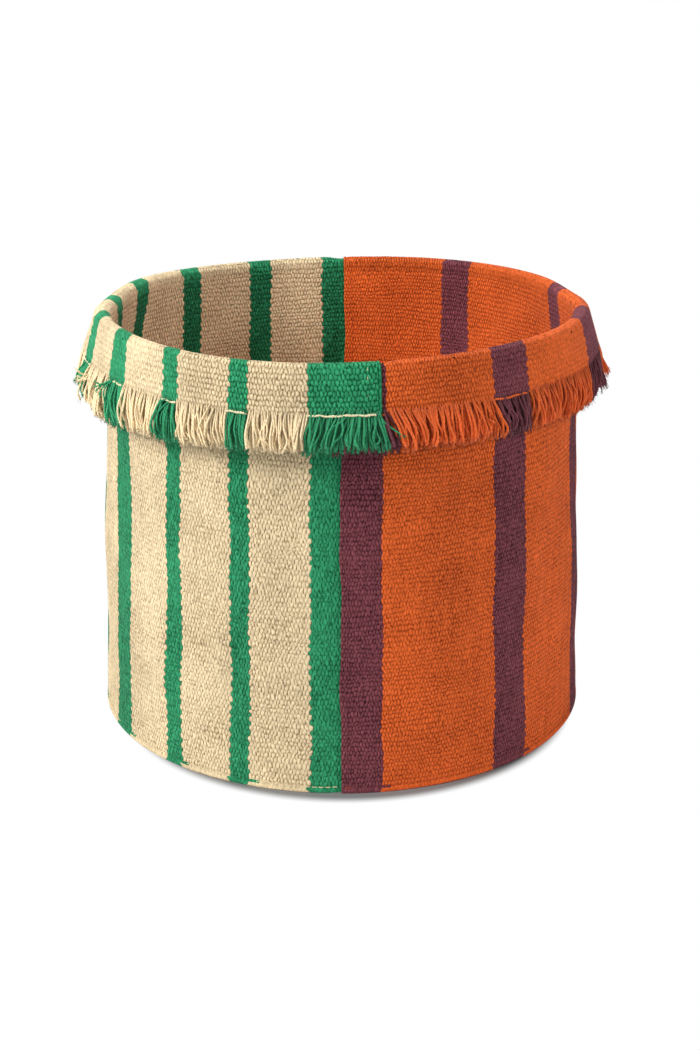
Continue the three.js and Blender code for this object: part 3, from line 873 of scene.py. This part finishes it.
def strand_paths(panel, cell, outer):
    """Paths and radii of the inner and outer strands. At the share s of its length a strand is
    flare sin(2.3 s) out from the cuff's edge, with a curl that grows with s. Outer strands gather
    in bunches whose ends draw together, and a few of them hang loose. The inner ones hang close.
    Under a lap's upper cloth they are longer and lie flat."""
    count = len(cell)
    layer = np.where(outer > 0, random.uniform(0.5, 2, count), random.uniform(-1.5, 0, count))
    turn = panel.turn_at(cell)
    side = np.sin(turn)
    under_lap = lies_under(panel, turn)
    length = STRAND_LENGTH + 6 * MM * side**2 * (1 - 0.55 * side)
    length = length - 8 * MM * smooth((-70 - np.degrees(turn)) / 14)
    length = length + random.normal(0, 1.1 * MM, count) + 2.5 * MM * under_lap - 1.5 * MM * outer

    bunch = np.repeat(np.arange(count), random.integers(4, 13, count))[:count]
    middle = np.array([cell[bunch == b].mean() for b in bunch])
    draw = random.uniform(0, 0.7, count)[bunch] * (0.2 + 0.8 * outer)
    sway = random.normal(0, 1.3 * MM, count)[bunch] * (0.5 + 0.5 * outer)
    sway = sway + random.normal(0, 0.8 * MM, count)
    loose = (random.random(count) < 0.09) * outer
    sway = sway + loose * random.normal(0, 4.5 * MM, count)
    flare = random.uniform(2.5, 6, count)[bunch] * MM + random.normal(0, 0.6 * MM, count)
    held = np.interp(np.degrees(turn), [-125, -95, -78, 62, 80, 100], [0.3, 0.5, 1, 1, 0.55, 0.3])
    flare = flare * (0.6 + 0.4 * outer) * held
    flare = flare + layer * 1.1 * MM + loose * random.uniform(0, 4 * MM, count)
    flare = flare * (1 - 0.6 * under_lap) - 1.2 * MM * under_lap
    curl = random.normal(0, 1.2 * MM, (2, count)) + random.normal(0, 0.9 * MM, (2, count))[:, bunch]
    curl = curl * (0.35 + 0.65 * outer)

    start = LAST_ROW - 0.2 - outer * random.uniform(0.1, 1.0, count)
    root = cloth_line(panel, turn, start, (layer * 0.3 + 0.45 * outer) * MM)
    seen = np.arctan2(root[:, 0], -root[:, 1])
    lean = np.interp(np.degrees(seen), LEAN[:, 0], LEAN[:, 1]) * MM
    outwards = np.stack([np.sin(seen), -np.cos(seen), 0 * seen], -1)[:, None]
    sideways = np.stack([np.cos(seen), np.sin(seen), 0 * seen], -1)[:, None]
    s = np.linspace(0, 1, STOPS)[None]
    out = flare[:, None] * np.sin(2.3 * s) + curl[:1].T * np.sin(5 * s) * s
    phase = random.uniform(0, 2 * math.pi, (count, 1))
    shift = (middle - cell) * CELL * draw
    across = (shift + sway + lean)[:, None] * (1.25 * s - 0.25 * s**3)
    across = across + curl[1:].T * (np.sin(7 * s + phase) - np.sin(phase)) * s
    paths = root[:, None] + outwards * out[..., None] + sideways * across[..., None]
    paths[..., 2] = root[:, 2:] - length[:, None] * s
    radius = STRAND_RADIUS * np.interp(s, [0, 0.15, 0.8, 0.93, 1], [0.75, 1, 1, 1.3, 1])
    return paths, radius * random.uniform(0.8, 1.1, (count, 1)) * (1.1 - 0.2 * outer)[:, None]


def fringe_strands(panel, material):
    """All strands and strays of a panel's fringe, and the loose hairs at their frayed tips."""
    cell, outer = strand_roots(panel)
    paths, radius = strand_paths(panel, cell, outer)
    stray_cell, strays = stray_paths(panel)
    s = np.linspace(0, 1, STOPS)
    stray_radius = STRAY_RADIUS * np.interp(s, [0, 0.8, 0.95, 1], [1, 1, 1.2, 0.6])
    radius = np.concatenate([radius, np.broadcast_to(stray_radius, strays.shape[:2])])
    cell = np.concatenate([cell, stray_cell])
    # Inner strands, which the yarn's finish gives painted shade
    inner_shade = np.concatenate([1 - outer, np.zeros(len(strays))])
    paths = np.concatenate([paths, strays])
    yarn_points, yarn_faces, yarn_ply = tubes(paths, radius, STRAND_SIDES)

    owner = np.repeat(np.arange(len(paths)), HAIRS)
    stem = paths[owner, random.integers(STOPS - 2, STOPS, len(owner))]
    stem = stem + random.normal(0, 0.35 * MM, stem.shape)
    drift = random.normal(0, 1.1 * MM, (len(owner), 3)) - [0, 0, 1.0 * MM]
    hairs = np.stack([stem, stem + drift], 1)
    hair_points, hair_faces, hair_ply = tubes(hairs, HAIR_RADIUS * np.array([1, 0.6]), HAIR_SIDES)

    points = np.concatenate([yarn_points.reshape(-1, 3), hair_points.reshape(-1, 3)])
    first_hair = yarn_points.size // 3
    faces = yarn_faces + [block + first_hair for block in hair_faces]
    of_yarns = np.repeat(np.arange(len(paths)), STOPS * STRAND_SIDES)
    of_hairs = np.repeat(owner, 2 * HAIR_SIDES)
    number = np.concatenate([of_yarns, of_hairs])
    share = np.broadcast_to(s[:, None], (len(paths), STOPS, STRAND_SIDES)).ravel()
    share = np.concatenate([share, np.ones(len(of_hairs))])
    maps = {
        "weave": np.stack([cell[number], number], -1),
        "ply": np.concatenate([yarn_ply.reshape(-1, 2), hair_ply.reshape(-1, 2)]),
        "strand": np.stack([inner_shade[number], share], -1),
    }
    return piece(panel.name + "_strands", points, faces, maps, material)


cream_yarn = yarn_finish("cream green yarn", cream_panel, "cream", "green", 1.2, 0.04)
orange_yarn = yarn_finish("orange purple yarn", orange_panel, "orange", "purple", 1.14, 0.2)
cream_strands = fringe_strands(cream_panel, cream_yarn)
orange_strands = fringe_strands(orange_panel, orange_yarn)


CORD_RADIUS = 0.5 * MM
CORD_TWIST = 4.6 * MM
CORD_INSET = 5 * MM
CORD_STEP = 0.7 * MM
CORD_SIDES = 6
PLY_OFFSET = 0.44 * MM
CORD_GAP = (68, 84)


def header_cord(panel, yarn):
    """Two plies that wind round each other along the cuff's lower edge. It shows on the stripes and
    dips behind the warp ends where it has their colour, under a lap's upper cloth, and between the
    two turns of CORD_GAP. It stands out less on the basket's sides."""
    inset = CORD_INSET / CELL
    steps = int((panel.cells * CELL - 2 * CORD_INSET) / CORD_STEP)
    cell = np.linspace(inset, panel.cells - inset, steps)
    turn = panel.turn_at(cell)
    degrees = np.degrees(turn)
    in_gap = (degrees >= CORD_GAP[0]) & (degrees <= CORD_GAP[1])
    shown = panel.striped(cell) * ~in_gap * ~lies_under(panel, turn)
    kernel = np.hanning(7) / np.hanning(7).sum()
    shown = np.convolve(np.pad(shown, 3, mode="edge"), kernel, mode="valid")
    wind = 2 * math.pi * cell * CELL / CORD_TWIST
    reach = 3.6 - 0.9 * smooth((np.abs(np.sin(turn)) - 0.4) / 0.4)
    paths = []
    for phase in (0, math.pi):
        offset = (reach * shown - 1.3) * MM + PLY_OFFSET * np.cos(wind + phase)
        row = LAST_ROW + 0.05 + PLY_OFFSET * np.sin(wind + phase) / CUFF_ROW
        row = row + 0.07 * np.sin(cell * 0.9) + 0.05 * np.sin(cell * 2.3)
        paths.append(cloth_line(panel, turn, row, offset))
    thick = CORD_RADIUS * (1 + 0.12 * np.sin(cell * 1.7) + 0.12 * np.sin(cell * 4.1))
    points, faces, ply = tubes(np.stack(paths), thick, CORD_SIDES)
    material = thread_finish(panel.name + " header yarn", YARNS[yarn])
    return piece(panel.name + "_header_cord", points, faces, {"ply": ply}, material)


cream_header = header_cord(cream_panel, "pale")
orange_header = header_cord(orange_panel, "orange")


# Stitches

FOOT_STITCH = 5.2 * MM
LAP_STITCH_ROWS = 1.6
FOOT_THREAD_RADIUS = 0.34 * MM
LAP_THREAD_RADIUS = 0.42 * MM
THREAD_SIDES = 5
STITCH_DEPTH = 0.85 * MM
STITCH_SHIFT = 1.3 * MM

# How far a stitch's thread stands over the cloth at its top, from clear of it to sunk in it. The
# threads are about 0.4 mm thick on each side of this line.
STANDING = 0.3 * MM
LEVEL = 0.1 * MM
LYING = -0.22 * MM
HALF_SUNK = -0.3 * MM
SUNK = -0.9 * MM


def stitches(name, panel, turns, rows, side, yarn, rise, radius):
    """A row of sewing stitches from point to point. Each is a thread that comes out of the cloth,
    lies on it and goes in again. At the share s of a stitch, counted over its middle eight tenths,
    it stands rise + STITCH_DEPTH (sqrt(sin(pi s)) - 1) over the face."""
    count = len(turns) - 1
    s = np.linspace(0.1, 0.9, 7)
    turn = turns[:-1, None] + np.diff(turns)[:, None] * s
    row = rows[:-1, None] + np.diff(rows)[:, None] * s
    arch = STITCH_DEPTH * (np.sin(math.pi * (s - 0.1) / 0.8) ** 0.5 - 1)
    offset = side * (half_cloth(panel, turn) + rise[:, None] + arch)
    points, faces, ply = tubes(cloth_line(panel, turn, row, offset), radius, THREAD_SIDES)
    ply[..., 1] += STITCH_SHIFT * np.arange(count)[:, None, None]
    return piece(name, points, faces, {"ply": ply}, thread_finish(name.replace("_", " "), YARNS[yarn]))


def foot_stitches(name, panel, start, end, yarn):
    """Stitches round the foot. They show as dashes near the front lap. Elsewhere they lie in the
    cloth, and on the other stripes they are sunk."""
    inset = 2.5 * MM / FOOT_RADIUS
    count = round((end - start) * FOOT_RADIUS / FOOT_STITCH)
    turns = np.linspace(start + inset, end - inset, count)
    rows = np.full(count, SEAM_ROW * 1.02)
    near_lap = np.abs(np.degrees(turns[:-1]) + 3) < 5
    on_stripe = panel.striped(panel.cell_at(turns[:-1])) > 0
    rise = np.where(near_lap, LEVEL, np.where(on_stripe, SUNK, LYING))
    return stitches(name, panel, turns, rows, -1, yarn, rise, FOOT_THREAD_RADIUS)


def lap_stitches(name, panel, turn, first, last, side, yarn, shown=()):
    """Stitches up a lap. On the cuff only the ones at the shown rows can be seen."""
    rows = np.linspace(first, last, round((last - first) / LAP_STITCH_ROWS))
    turns = np.full(len(rows), turn)
    rise = np.where(rows[:-1] > WALL_ROWS, SUNK, STANDING)
    for row in shown:
        rise[np.abs(rows[:-1] - row).argmin()] = HALF_SUNK
    return stitches(name, panel, turns, rows, side, yarn, rise, LAP_THREAD_RADIUS)


outer_seam = LAP_SEAM_INSET / MIDDLE_RADIUS
inner_seam = HIDDEN_SEAM_INSET / MIDDLE_RADIUS
wall_seam = (2.5, WALL_ROWS)
whole_seam = (4.5, LAST_ROW - 1)
front_outer = lap_stitches(
    "front_outer_stitches", orange_panel, outer_seam, *wall_seam, -1, "purple"
)
front_inner = lap_stitches(
    "front_inner_stitches", cream_panel, LAP_TURN - inner_seam, *whole_seam, 1, "cream",
    shown=(87.2, 88.6, 91.4),
)
back_outer = lap_stitches(
    "back_outer_stitches", cream_panel, outer_seam - math.pi - LAP_TURN, *wall_seam, -1, "green"
)
back_inner = lap_stitches(
    "back_inner_stitches", orange_panel, math.pi - inner_seam, *whole_seam, 1, "orange"
)
cream_foot = foot_stitches("cream_foot_stitches", cream_panel, cream_panel.start, 0, "cream")
orange_foot = foot_stitches("orange_foot_stitches", orange_panel, 0, math.pi - LAP_TURN, "rust")


# The base

def base_finish():
    """Plain cream weave on Object coordinates: floats with a height of 1 - 3.9 x^2 - 5.2 y^2 in
    brick order, and fibres."""
    finish = Finish("base cloth", roughness=0.93, sheen=0.12)
    across, along = finish.parts(finish.place())[:2]
    across = across / CELL
    along = along / BASE_ROW
    heights = []
    for shift in (0.0, 0.5):
        a = across + shift
        b = along * 0.5 + shift
        x = a - finish.math("ROUND", a)
        y = b - finish.math("ROUND", b)
        heights.append(1 - x * x * 3.9 - y * y * 5.2)
    height = finish.math("MAXIMUM", heights[0], heights[1])
    fibre = finish.noise(finish.vector(across * 7.0, along * 1.3), 1.0, 3.0) - 0.5
    crest, gap = YARNS["cream"]
    # Between the floats shows the darker gap colour, partly painted shade
    finish.colour(finish.mix(finish.smooth(height + fibre * 0.35, 0.02, 0.62), gap, crest))
    finish.relief(height + fibre * 0.45, 0.55 * MM)
    return finish.material


def base_profile():
    """Radius, height and tilt of the base's middle line, from near the axis to the lip's top: a flat
    disc whose edge turns up in a quarter arc into a short lip."""
    bend = BASE_BEND - BASE_CLOTH / 2
    edge = FOOT_RADIUS - CLOTH - CLEARANCE - BASE_CLOTH / 2
    arc = np.linspace(0, math.pi / 2, 7)
    disc = np.linspace(4 * MM, edge - bend, 40)[:-1]
    flat = np.zeros(len(disc))
    radius = np.concatenate([disc, edge - bend + bend * np.sin(arc), [edge, edge]])
    height = np.concatenate([flat, bend * (1 - np.cos(arc)), [9 * MM, BASE_LIP]])
    tilt = np.concatenate([flat, arc, [math.pi / 2, math.pi / 2]])
    return radius, height + BASE_CLOTH / 2, tilt


def base_cloth():
    """The base's profile turned round the axis, with half of the cloth's thickness square to it on
    both sides. Its edge follows the wall's taper and the steps of both panels, and its upper face
    has a low swell. The lip's top is thinner."""
    radius, height, tilt = base_profile()
    turn = np.linspace(-math.pi, math.pi, 361)[:-1]
    r, t = np.meshgrid(radius, turn, indexing="ij")
    z = np.broadcast_to(height[:, None], r.shape)
    on_cream = t <= LAP_TURN + 1e-9
    cream_step = cream_lift(np.where(t > LAP_TURN, t - 2 * math.pi, t)) * on_cream
    orange_step = orange_lift(t) * (t >= 0)
    step = np.maximum(np.maximum(cream_step, orange_step), 0)
    r = r - (step + math.tan(TAPER) * z) * smooth((r - 0.15) / 0.04)
    swell = 0.5 * MM * np.sin(3 * t + 1) * np.sin(r / 0.03)
    swell = swell * smooth((0.19 - r) / 0.05) * smooth(r / 0.05)
    half = np.full((len(radius), 1), BASE_CLOTH / 2)
    half[-1] *= 0.6
    sides = []
    for sign in (1, -1):
        rr = r - np.sin(tilt)[:, None] * half * sign
        zz = z + np.cos(tilt)[:, None] * half * sign + swell * (sign > 0)
        sides.append(np.stack([rr * np.sin(t), -rr * np.cos(t), zz], -1).reshape(-1, 3))
    points = np.concatenate([*sides, [[0, 0, BASE_CLOTH], [0, 0, 0]]])
    rings, columns = r.shape
    size = rings * columns
    k = np.arange(columns)
    after = np.roll(k, -1)
    last = size - columns
    upper = grid_faces(rings, columns, 0, True)
    under = grid_faces(rings, columns, size, True)[:, ::-1]
    lip = np.stack([last + k, last + after, size + last + after, size + last + k], -1)
    upper_middle = np.stack([np.full(columns, 2 * size), after, k], -1)
    under_middle = np.stack([np.full(columns, 2 * size + 1), size + k, size + after], -1)
    faces = turned_out(points, [upper, under, lip, upper_middle, under_middle])
    return piece("base_cloth", points, faces, {}, base_finish())


base = base_cloth()

# Each piece, the imported part that it stands for, which is hidden, and a slot name that nothing reads
for made, node, slot in [
    (cream_cloth, "cream_green_panel", "cream_green_cloth"),
    (orange_cloth, "orange_purple_panel", "orange_purple_cloth"),
    (base, "base_panel", "base_cloth"),
    (cream_strands, "cream_green_fringe", "cream_green_yarn"),
    (orange_strands, "orange_purple_fringe", "orange_purple_yarn"),
    (cream_header, "cream_header_weft", "cream_yarn"),
    (orange_header, "orange_header_weft", "orange_yarn"),
    (front_outer, "front_lap_outer_seam", "purple_thread"),
    (front_inner, "front_lap_inner_seam", "cream_thread"),
    (back_outer, "back_lap_outer_seam", "green_thread"),
    (back_inner, "back_lap_inner_seam", "orange_thread"),
    (cream_foot, "cream_foot_seam", "cream_thread"),
    (orange_foot, "orange_foot_seam", "orange_thread"),
]:
    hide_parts(node)

# Lengths of the cloths round the basket, worked out here and not kept
(cream_panel.end - cream_panel.start) * MIDDLE_RADIUS
(orange_panel.end - orange_panel.start) * MIDDLE_RADIUS


# Floor, light and camera

# Where the painted shadow round the foot is centred, right of and in front of the basket's middle
SHADOW_RIGHT = 3.5 * MM
SHADOW_FORWARD = 27 * MM


def floor():
    """A flat white floor. For the camera it is plain white away from the basket. Close to the foot
    it is painted shadow: a dark grey band, widest in front, that the lamps still light, so that the
    basket's own shadow falls in it too."""
    size = 30.0
    corners = [(-size, -size, 0), (size, -size, 0), (size, size, 0), (-size, size, 0)]
    mesh = bpy.data.meshes.new("floor")
    mesh.from_pydata(corners, [], [(0, 1, 2, 3)])
    finish = Finish("white floor", roughness=1.0)
    x, y = finish.parts(finish.place())[:2]
    right = x - SHADOW_RIGHT
    forward = y + SHADOW_FORWARD
    radius = finish.math("SQRT", right * right + forward * forward)
    away = finish.smooth(radius, FOOT_RADIUS - 22 * MM, FOOT_RADIUS - 9 * MM)
    path = finish.node("ShaderNodeLightPath")
    seen = Value(finish, path.outputs["Is Camera Ray"])
    finish.shader.inputs["Base Color"].default_value = (0.9, 0.9, 0.9, 1)
    finish.shader.inputs["Specular IOR Level"].default_value = 0
    # Painted shadow: a dark grey floor round the foot, lit by the lamps
    painted_shadow = finish.node("ShaderNodeBsdfDiffuse", {"Color": (0.2, 0.2, 0.2, 1)})
    white = finish.node("ShaderNodeEmission", {"Color": (1, 1, 1, 1), "Strength": 1.0})
    near = finish.node("ShaderNodeMixShader", {0: away})
    finish.tree.links.new(painted_shadow.outputs[0], near.inputs[1])
    finish.tree.links.new(white.outputs[0], near.inputs[2])
    whole = finish.node("ShaderNodeMixShader", {0: seen})
    finish.tree.links.new(finish.shader.outputs[0], whole.inputs[1])
    finish.tree.links.new(near.outputs[0], whole.inputs[2])
    out = next(n for n in finish.tree.nodes if n.type == "OUTPUT_MATERIAL")
    finish.tree.links.new(whole.outputs[0], out.inputs["Surface"])
    mesh.materials.append(finish.material)
    made = bpy.data.objects.new("floor", mesh)
    bpy.context.scene.collection.objects.link(made)


LAMP_REACH = 2.3


def lamp(name, turn, rise, size, power):
    """A soft disc that looks at the basket from LAMP_REACH away: its turn, and its rise over the
    level of the basket's middle, in degrees."""
    light = bpy.data.lights.new(name, "AREA")
    light.shape = "DISK"
    light.size = size
    light.energy = power
    made = bpy.data.objects.new(name, light)
    turn, rise = math.radians(turn), math.radians(rise)
    level = LAMP_REACH * math.cos(rise)
    height = RIM_HEIGHT / 2 + LAMP_REACH * math.sin(rise)
    made.location = (level * math.sin(turn), -level * math.cos(turn), height)
    made.rotation_euler = (math.pi / 2 - rise, 0, turn)
    bpy.context.scene.collection.objects.link(made)


def world():
    """White for the camera, and a soft fill for everything else."""
    made = bpy.data.worlds.new("studio")
    made.use_nodes = True
    tree = made.node_tree
    tree.nodes.clear()
    fill = tree.nodes.new("ShaderNodeBackground")
    fill.inputs["Strength"].default_value = 0.06
    white = tree.nodes.new("ShaderNodeBackground")
    for background in (fill, white):
        background.inputs["Color"].default_value = (1, 1, 1, 1)
    white.inputs["Strength"].default_value = 1.0
    path = tree.nodes.new("ShaderNodeLightPath")
    mix = tree.nodes.new("ShaderNodeMixShader")
    out = tree.nodes.new("ShaderNodeOutputWorld")
    tree.links.new(path.outputs["Is Camera Ray"], mix.inputs[0])
    tree.links.new(fill.outputs[0], mix.inputs[1])
    tree.links.new(white.outputs[0], mix.inputs[2])
    tree.links.new(mix.outputs[0], out.inputs["Surface"])
    bpy.context.scene.world = made


floor()
world()
lamp("key", -60, 35, 1.2, 54)
lamp("fill", 65, 20, 1.2, 21)
lamp("top", 0, 75, 1.2, 15)
lamp("back", 180, 50, 1.2, 36)

# The camera that fits the photo's rim, foot and sides
camera = bpy.data.objects.new("camera", bpy.data.cameras.new("camera"))
camera.data.lens = 60.35
camera.data.sensor_width = 36
camera.location = (7.3 * MM, -1457.5 * MM, 674.6 * MM)
camera.rotation_euler = (math.radians(90 - 19.74), 0, 0)
bpy.context.scene.collection.objects.link(camera)
bpy.context.scene.camera = camera
bpy.context.scene.view_settings.view_transform = "Standard"
